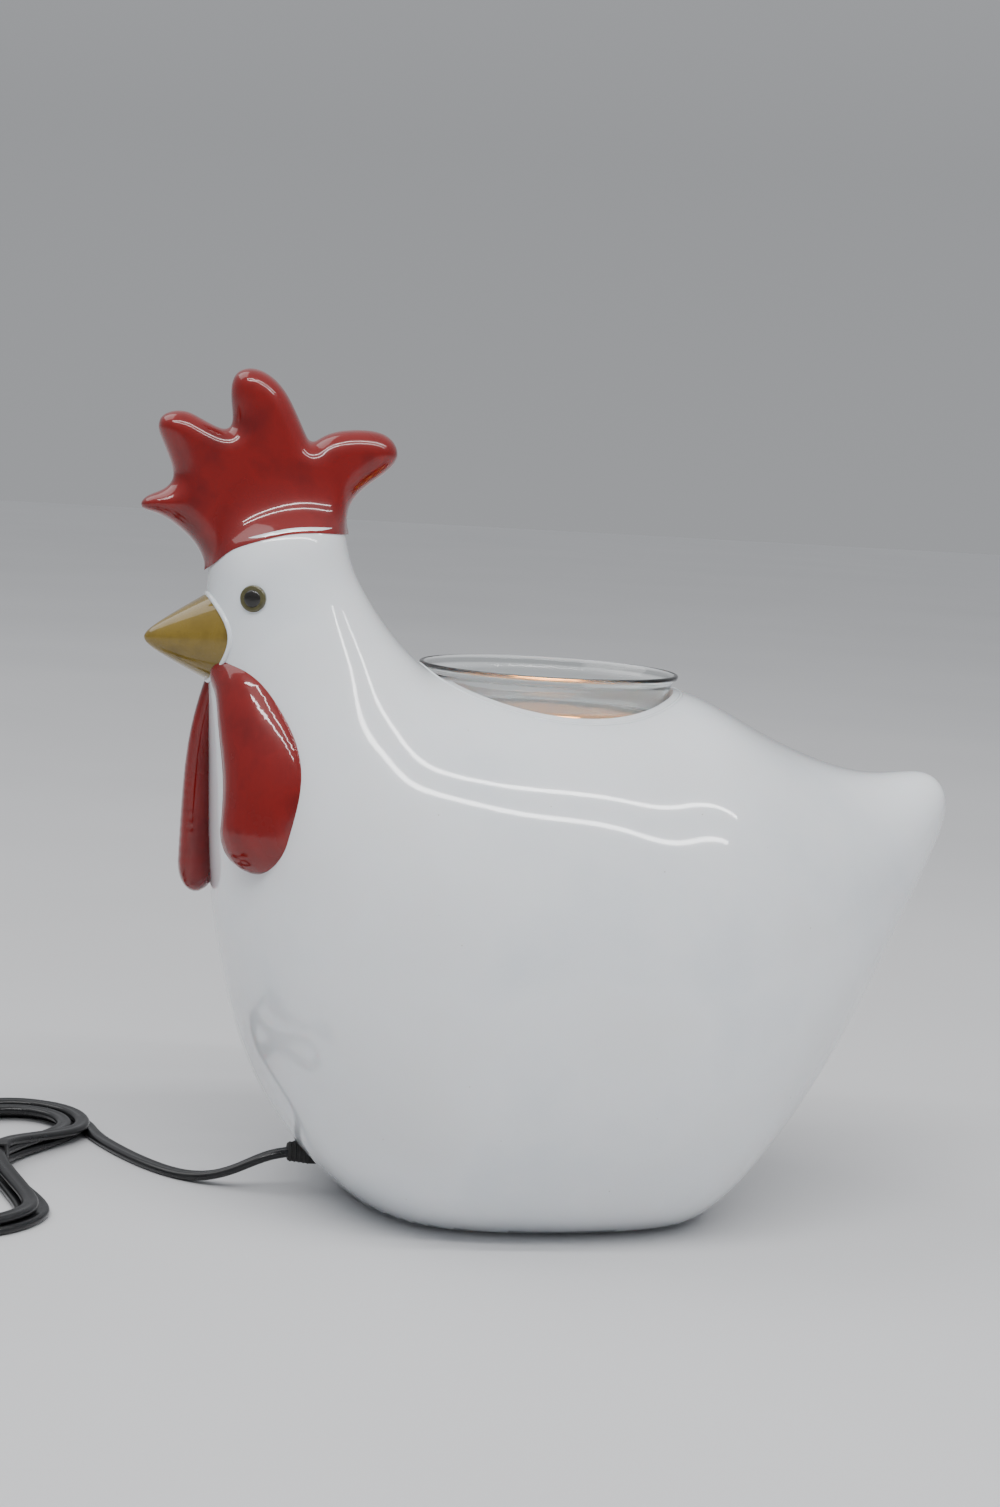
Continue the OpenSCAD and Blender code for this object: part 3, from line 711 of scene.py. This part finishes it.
def ceramic_body():
    made = body_solid("ceramic_body", 0, 0, len(RIBS) - 1, 6, 168)
    halved(made, (0, 0, 2 * MM), (0, 0, 1), crown_line)
    halved(made, (0, 0, FOOT_Z * MM), (0, 0, -1))
    hollow = body_solid("hollow", WALL, 2, 19, 4, 96)
    halved(hollow, (0, 0, FLOOR_Z * MM), (0, 0, -1))
    tidy_mesh(hollow.data)
    cut(hollow, post(SEAT_R + WALL, SEAT_Z - 6, 220))
    tidy_mesh(made.data)
    skin_tree = BVHTree.FromObject(made, bpy.context.evaluated_depsgraph_get())
    cut(made, hollow)
    for radius, low, high in (
            (SEAT_R, SEAT_Z, 230), (47.2, 187.4, 230), (37, 154, 175), (45, -5, 9), (51.5, -5, 4.5)):
        cut(made, post(radius, low, high))
    hole = lathe([(0, 0), (4.62, 0), (4.62, 60), (0, 60)], (-60, 0, 14), "-X", 48)
    cut(made, solid("hole", *hole))
    tidy_mesh(made.data, 40)
    settle(made, glaze_white, replaces=("body_shell",))
    return made, skin_tree


ceramic, outside = ceramic_body()


def bead(name, line, radius, material):
    """A round bead of glaze along a closed line."""
    line = np.array(line)
    rings = []
    for i, here in enumerate(line):
        step = line[(i + 1) % len(line)] - line[i - 1]
        step /= np.linalg.norm(step)
        side = np.cross(step, (0.31, 0.2, 0.93))
        side /= np.linalg.norm(side)
        up = np.cross(step, side)
        rings.append([here + (side * math.cos(a) + up * math.sin(a)) * radius
                      for a in (2 * math.pi * k / 10 for k in range(10))])
    return settle(solid(name, *skin(rings, True), sharp=180), material)


RIM_R = 47.9


def seat_rim():
    """The rounded lip of glaze where the dish sits down in the back."""
    line = []
    for k in range(120):
        a = 2 * math.pi * k / 120
        x, y = AXIS_X + RIM_R * math.cos(a), RIM_R * math.sin(a)
        hit = outside.ray_cast(Vector((x, y, 260)) * MM, -TOP)[0]
        line.append((x, y, hit.z / MM - 0.55))
    return bead("seat_lip", line, 0.85, glaze_white)


seat_rim()

# ---------------------------------------------------------------- comb and wattles


def balls(name, chain, flat, turn):
    """A chain of flattened balls; each is x, y, z and radius."""
    mesh = bmesh.new()
    for x, y, z, r in smooth_rows(chain, 9):
        place = Matrix.Translation(Vector((x, y, z)) * MM) @ Matrix.Rotation(turn, 4, "Z")
        place = place @ Matrix.Diagonal((r * MM, r * flat * MM, r * MM, 1))
        bmesh.ops.create_icosphere(mesh, subdivisions=3, radius=1, matrix=place)
    data = bpy.data.meshes.new(name)
    mesh.to_mesh(data)
    mesh.free()
    return link(name, data)


def fleshed(made, voxel, rounds):
    """Melts overlapping forms into one smooth skin."""
    melt = made.modifiers.new("melt", "REMESH")
    melt.mode = "VOXEL"
    melt.voxel_size = voxel * MM
    ease = made.modifiers.new("ease", "SMOOTH")
    ease.factor = 0.5
    ease.iterations = rounds
    return applied(made)


# Side outline of the comb, from the front of the head round to the back
COMB = [
    (-122, 205), (-125.6, 214), (-127, 220.5), (-131.3, 228.6), (-137.7, 234.6), (-144.3, 238.6),
    (-151, 240.3), (-152, 241.7), (-149.6, 244.8), (-144.9, 246.9), (-141.6, 249.4),
    (-140.5, 252.6), (-141.7, 256.7), (-143.9, 261.8), (-146.1, 266.5), (-146.6, 270),
    (-145.1, 272.8), (-141.3, 274.4), (-136.7, 274.4), (-132.4, 272.5), (-128.3, 270.6),
    (-124.2, 269), (-121.7, 269.6), (-121.1, 273.2), (-122, 279.5), (-122, 285), (-120.3, 288.8),
    (-116.3, 290.4), (-111.4, 289.6), (-106.3, 286.2), (-102, 280.8), (-98.3, 273.8),
    (-95.6, 268.4), (-93.4, 265.6), (-89.8, 268.3), (-83.3, 270.9), (-75.9, 271.8),
    (-69.2, 271.2), (-64.9, 268.6), (-62.9, 264.7), (-64, 260.5), (-68.4, 256.2),
    (-73.2, 252.5), (-77, 248.7), (-79.4, 244.5), (-80.7, 240), (-80.9, 235), (-80, 226), (-80, 205)]
COMB_HALF = 8.4
COMB_EDGE = 8.0


def depth_inside(line, xs, zs):
    """How far grid points lie inside a closed outline; negative outside."""
    near = np.full(xs.shape, 1e9)
    within = np.zeros(xs.shape, bool)
    for (ax, az), (bx, bz) in zip(line, np.roll(line, -1, axis=0)):
        dx, dz = bx - ax, bz - az
        t = np.clip(((xs - ax) * dx + (zs - az) * dz) / (dx * dx + dz * dz + 1e-12), 0, 1)
        near = np.minimum(near, np.hypot(xs - ax - t * dx, zs - az - t * dz))
        crosses = (az > zs) != (bz > zs)
        within ^= crosses & (xs < ax + (zs - az) * dx / (dz if dz else 1e-12))
    return np.where(within, near, -near)


def softly(grid, rounds):
    for _ in range(rounds):
        wide = np.pad(grid, 1, mode="edge")
        grid = (wide[:-2, 1:-1] + 2 * wide[1:-1, 1:-1] + wide[2:, 1:-1]) / 4
        wide = np.pad(grid, 1, mode="edge")
        grid = (wide[1:-1, :-2] + 2 * wide[1:-1, 1:-1] + wide[1:-1, 2:]) / 4
    return grid


def head_half(xs, zs):
    """Half thickness of the head over the grid."""
    out = np.zeros(xs.shape)
    for i in np.ndindex(xs.shape):
        at = Vector((xs[i], -200, zs[i])) * MM
        hit = crown_skin.ray_cast(at, Vector((0, 1, 0)))[0]
        if hit:
            out[i] = -hit.y / MM
    return out


def net_places(field):
    """The cells of a grid that its zero surface runs through, and where it does."""
    cells = [n - 1 for n in field.shape]
    total = np.zeros((*cells, 3))
    count = np.zeros(cells)
    for axis in range(3):
        a, b = (1, 2) if axis == 0 else (0, 2) if axis == 1 else (0, 1)
        first = [slice(None)] * 3
        second = [slice(None)] * 3
        first[axis], second[axis] = slice(None, -1), slice(1, None)
        low, high = field[tuple(first)], field[tuple(second)]
        change = (low < 0) != (high < 0)
        share = np.where(change, low / np.where(change, low - high, 1), 0)
        for da in (0, 1):
            for db in (0, 1):
                part = [slice(None)] * 3
                part[a] = slice(da, da + cells[a])
                part[b] = slice(db, db + cells[b])
                hit = change[tuple(part)]
                total[..., axis] += np.where(hit, share[tuple(part)], 0)
                total[..., a] += hit * da
                total[..., b] += hit * db
                count += hit
    held = count > 0
    return held, np.argwhere(held) + total[held] / count[held][:, None]


def net_faces(inside, number):
    """Four-sided faces between numbered cells, wherever the grid goes from inside to out."""
    faces = []
    for axis in range(3):
        a, b = (1, 2) if axis == 0 else (2, 0) if axis == 1 else (0, 1)
        first = [slice(1, -1)] * 3
        second = [slice(1, -1)] * 3
        first[axis], second[axis] = slice(None, -1), slice(1, None)
        start = inside[tuple(first)]
        change = start != inside[tuple(second)]
        for i in np.argwhere(change):
            at = i + 1
            at[axis] -= 1
            ring = []
            for da, db in ((1, 1), (0, 1), (0, 0), (1, 0)):
                cell = at.copy()
                cell[a] -= da
                cell[b] -= db
                ring.append(int(number[tuple(cell)]))
            faces.append(ring if start[tuple(i)] else ring[::-1])
    return faces


def net(field, corner, step):
    """A smooth skin over the part of a grid of values where they are negative."""
    held, places = net_places(field)
    number = np.full(held.shape, -1)
    number[held] = np.arange(held.sum())
    return places * step + corner, net_faces(field < 0, number)


crown = body_solid("crown", -0.3, 15, len(RIBS) - 1, 4, 96)
crown_skin = BVHTree.FromObject(crown, bpy.context.evaluated_depsgraph_get())
bpy.data.objects.remove(crown)


def comb_piece():
    """The comb: a thick plate with round edges that swells into the top of the head."""
    step = 0.85
    x = np.arange(-156, -58, step)
    y = np.arange(-28, 28.5, step)
    z = np.arange(212, 294, step)
    xs, zs = np.meshgrid(x, z, indexing="ij")
    outline = smooth_rows(COMB, 4)[:, :2]
    deep = softly(depth_inside(outline, xs, zs), 3)
    edge = np.clip((COMB_EDGE - deep) / COMB_EDGE, 0, None)
    plate = COMB_HALF ** 2 * (1 - edge ** 2)
    plate = np.sign(plate) * np.sqrt(abs(plate))
    edge_z = np.interp(xs, CROWN_LINE[:, 0], CROWN_LINE[:, 1])
    above = np.clip(zs - edge_z, 0, None)
    swell = np.clip(head_half(xs, np.minimum(zs, edge_z)) - plate, 0, None)
    half = plate + swell / (1 + above / 20 + (above / 7) ** 2)
    half = softly(half * abs(half), 1)
    field = y[None, :, None] ** 2 - half[:, None, :]
    made = solid("comb_glaze", *net(field, (x[0], y[0], z[0]), step), sharp=180)
    ease = made.modifiers.new("ease", "SMOOTH")
    ease.factor = 0.5
    ease.iterations = 5
    applied(made)
    halved(made, (0, 0, 0), (0, 0, -1), crown_line)
    tidy_mesh(made.data, 50)
    return settle(made, glaze_red, replaces=("comb",))


def wattle_piece(name, line, flat, turn, node):
    made = fleshed(balls(name, line, flat, math.radians(turn)), 0.7, 8)
    tidy_mesh(made.data, 60)
    return settle(made, glaze_red, replaces=(node,))


comb_piece()
wattle_piece(
    "wattle_near", [(-119.5, -13, 185.5, 7.6), (-115.5, -19.5, 180, 10.3), (-112.5, -26, 169, 12.8),
                    (-108.6, -33.5, 152, 15.4), (-110.5, -37, 134.5, 14)], 0.62, -32, "wattle_left")
wattle_piece(
    "wattle_far", [(-121.5, 2.5, 184, 6.6), (-124, 6, 168, 8.6), (-125, 9, 148, 10.5),
                   (-124.5, 11, 118, 12.1)], 0.5, 60, "wattle_right")

# ---------------------------------------------------------------- beak and eyes

BEAK_ROOT = -119
BEAK_LEN = 29.2
BEAK_Z = 196.5
BEAK_R = 19.3
BEAK_LIFT = 1.8
BLUNT = 0.45


def beak_line(w):
    """Radius and reach of the beak, from its root at 1 to its tip at 0."""
    return BEAK_R * math.sqrt(w * (w + BLUNT) / (1 + BLUNT)), BEAK_LEN * (1 - w)


def tipped(point):
    """Lets the beak point a little downwards."""
    x, y, z = point
    return np.array((x, y, z + BEAK_LIFT * (1 + (x - BEAK_ROOT) / BEAK_LEN)))


shape = [(0, -4), (BEAK_R, -4)] + [beak_line((1 - k / 36) ** 2) for k in range(37)]
points, faces = lathe(shape, (BEAK_ROOT, 0, BEAK_Z), "-X", 72)
beak = solid("beak_glaze", [tipped(p) for p in points], faces, sharp=60)
settle(beak, glaze_olive, replaces=("beak",))


def beak_root():
    """The line where the beak meets the head."""
    line = []
    for j in range(72):
        a = 2 * math.pi * j / 72
        last = None
        for k in range(60, 2, -1):
            r, out = beak_line(1 - k / 64)
            here = tipped((BEAK_ROOT - out, r * math.sin(a), BEAK_Z + r * math.cos(a)))
            here = Vector(here) * MM
            if last is not None:
                hit = outside.ray_cast(last, (here - last).normalized(), (here - last).length)[0]
                if hit is not None:
                    line.append(hit / MM)
                    break
            last = here
    return line


root_line = [np.array(p) for p in beak_root()]
bead("beak_lip", root_line, 1.0, glaze_white)


EYE_X = -114.3
EYE_Y = 23
EYE_Z = 212.7
EYE_TURN = 28


def eye_part(name, line, side, material, node):
    """A round part of the eye, facing outwards from the side of the head."""
    points, faces = lathe(rounded_line(line, 0.35, closed=False), (0, 0, 0), steps=48)
    turn = Matrix.Rotation(math.radians(side * EYE_TURN), 4, "Z")
    turn = turn @ Matrix.Rotation(math.radians(side * -90), 4, "X")
    turn = Matrix.Translation((EYE_X, side * EYE_Y, EYE_Z)) @ turn
    made = solid(name, [turn @ Vector(p) for p in points], faces, 60)
    return settle(made, material, replaces=(node,))


for side, word in ((-1, "left"), (1, "right")):
    eye_part("eye_ring_" + word, [(0, -2), (4.6, -2), (4.6, 0.9), (4.1, 1.35), (3.2, 1.3), (0, 1.2)],
             side, enamel_olive, "eye_" + word)
    dome = [(0, -1.5), (3.05, -1.5), (3.05, 1.25), (2.4, 1.75), (1.2, 2.0), (0, 2.05)]
    eye_part("eye_pupil_" + word, dome, side, enamel_black, "pupil_" + word)

# ---------------------------------------------------------------- glass dish

dish_line = [
    (0, 0.9), (20, 0.9, 3), (33, 0.6, 3), (36, 0, 0.8), (41, 0, 1), (43.2, 1, 1.2),
    (44, 3.4, 2), (44, 14, 1.5),
    (45.6, 15.6, 0.9), (46.5, 16.6, 0.5), (46.5, 17.7, 0.6), (45.4, 18.1, 0.5), (44.6, 17.2, 0.7),
    (43.4, 15.6, 1), (42, 14, 1.5), (42, 4.4, 2), (39.8, 2.3, 2), (33, 2.6, 3), (20, 2.9, 3), (0, 2.9)]
wax_dish = turned("wax_dish_glass", dish_line, 0.8, 60, middle=(AXIS_X, 0, SEAT_Z), steps=128)
settle(wax_dish, dish_glass, "dish", ("wax_dish",))

# ---------------------------------------------------------------- lamp and fittings

CAP_Z = 76.2
CAP_TOP = CAP_Z + 22
BULB_MID = 131
bulb_arc = [(math.radians(d), 24) for d in range(-40, 90, 5)]
bulb_line = [(11.9, CAP_TOP - 2), (12, CAP_TOP + 3, 2)]
bulb_line += [(r * math.cos(a), BULB_MID + r * math.sin(a)) for a, r in bulb_arc]
inner_line = [(r * math.cos(a) * 0.967, BULB_MID + r * math.sin(a) * 0.967) for a, r in bulb_arc]
inner_line = [(11.2, CAP_TOP - 2), (11.2, CAP_TOP + 3)] + inner_line + [(0, BULB_MID + 23.2)]
bulb = turned("bulb_envelope", bulb_line + [(0, BULB_MID + 24)] + inner_line[::-1], 1.5, 70, steps=72)
settle(bulb, bulb_glass, "bulb", ("bulb_glass",))
cap_line = [(4, CAP_Z), (8, CAP_Z), (12, CAP_Z + 2), (12.5, CAP_Z + 3.4), (12.5, CAP_TOP - 1.5),
            (13, CAP_TOP), (12, CAP_TOP + 0.1), (11.9, CAP_Z + 4), (4, CAP_Z + 1)]
bulb_cap = turned("bulb_screw_cap", cap_line, 0.5, 50, closed=True, steps=72)
settle(bulb_cap, aluminium, "bulb", ("bulb_cap",))
cap_thread = grown(
    "bulb_cap_thread", THREAD, Radius=12.45 * MM, Turns=4.2, Height=15.2 * MM, Ridge=0.62 * MM,
    Place=(AXIS_X * MM, 0, (CAP_Z + 4) * MM), Material=aluminium)
settle(cap_thread, aluminium, "bulb")
arc = [(AXIS_X, 10.1 * math.cos(a), BULB_MID + 3 + 10.1 * math.sin(a))
       for a in (math.pi * k / 24 for k in range(25))]
filament = grown("lamp_filament", RINGS, arc, Count=90, Radius=0.42 * MM, Wire=0.1 * MM,
                 First_size=1.0, Last_size=1.0, Material=tungsten)
settle(filament, tungsten, "bulb", ("bulb_filament",))

holder_line = [(5.1, 58), (19, 58), (19, 90.4), (20.5, 91), (20.5, 96), (14, 96), (14, 70), (5.1, 70)]
holder = turned("lampholder", holder_line, 1.0, 50, closed=True, steps=96)
settle(holder, porcelain, replaces=("holder_body",))
holder_ring = softened("holder_collar", "holder_ring", 0.5)
settle(holder_ring, plastic_black, replaces=("holder_ring",))
shell_thread = grown(
    "socket_thread", THREAD, Radius=13.65 * MM, Turns=5.5, Height=20 * MM, Ridge=0.3 * MM,
    Place=(AXIS_X * MM, 0, 71.5 * MM), Material=brass)
settle(shell_thread, brass)

for name, node, width, material, slot in (
        ("bottom_cover", "base_plate", 0.4, plastic_black, "plastic_black"),
        ("cover_feet", "base_pads", 0.4, rubber_black, "rubber_black"),
        ("clamp_strip", "clamp_bar", 0.3, steel, "steel"),
        ("fixing_nuts", "pipe_nuts", 0.35, brass, "brass"),
        ("steel_washer", "pipe_washers", 0.2, steel, "steel"),
        ("reflector_disc", "heat_shield", 0.15, aluminium, "aluminium")):
    settle(softened(name, node, width), material, replaces=(node,))

KEPT = {
    "lamp_pipe": brass, "screw_shell": brass, "centre_contact": brass, "terminal_screws": brass,
    "bulb_insulator": enamel_black, "bulb_stem": clear_glass, "wire_live": vinyl_black,
    "wire_neutral": vinyl_grey, "switch_axle": steel, "switch_screws": steel}
for name, material in KEPT.items():
    nodes[name].data.materials.clear()
    nodes[name].data.materials.append(material)

# ---------------------------------------------------------------- floor and light


def flat_floor():
    mesh = bpy.data.meshes.new("floor")
    mesh.from_pydata([(-9, -9, 0), (9, -9, 0), (9, 9, 0), (-9, 9, 0)], [], [(0, 1, 2, 3)])
    made = link("floor", mesh)
    mesh.materials.append(floor_paint)


def area(name, place, size, power, colour=(1, 1, 1), wide=None, spin=0):
    light = bpy.data.lights.new(name, "AREA")
    light.energy = power
    light.color = colour
    light.size = size
    if wide:
        light.shape = "RECTANGLE"
        light.size_y = wide
    made = bpy.data.objects.new(name, light)
    bpy.context.scene.collection.objects.link(made)
    made.location = place
    facing = (Vector((0, 0, 0.12)) - Vector(place)).to_track_quat("-Z", "Y")
    made.rotation_euler = (Matrix.Rotation(math.radians(spin), 3, "Z") @ facing.to_matrix()).to_euler()
    return made


flat_floor()
area("front_tube", (0.2, -1.0, 1.45), 2.4, 15, wide=0.06, spin=-24)
area("second_tube", (0.2, -0.6, 1.5), 2.4, 13, wide=0.05, spin=-24)
area("high_panel", (-1.6, 0.9, 2.6), 2.2, 30)


def studio():
    """Even light that is brighter overhead than along the horizon."""
    world = bpy.data.worlds.new("studio")
    bpy.context.scene.world = world
    world.use_nodes = True
    tree = world.node_tree
    sky = add(tree, "ShaderNodeTexCoord")
    parts = wire(tree, sky.outputs["Generated"], add(tree, "ShaderNodeSeparateXYZ"), 0)
    stops = [(0.46, (0.5, 0.51, 0.53)), (0.56, (0.46, 0.47, 0.49)), (1.0, (0.95, 0.97, 1))]
    level = between(tree, parts.outputs["Z"], 0, 1, -1, 1)
    shade = ramp(tree, level, stops)
    tree.links.new(shade, tree.nodes["Background"].inputs[0])
    tree.nodes["Background"].inputs[1].default_value = 0.75


studio()
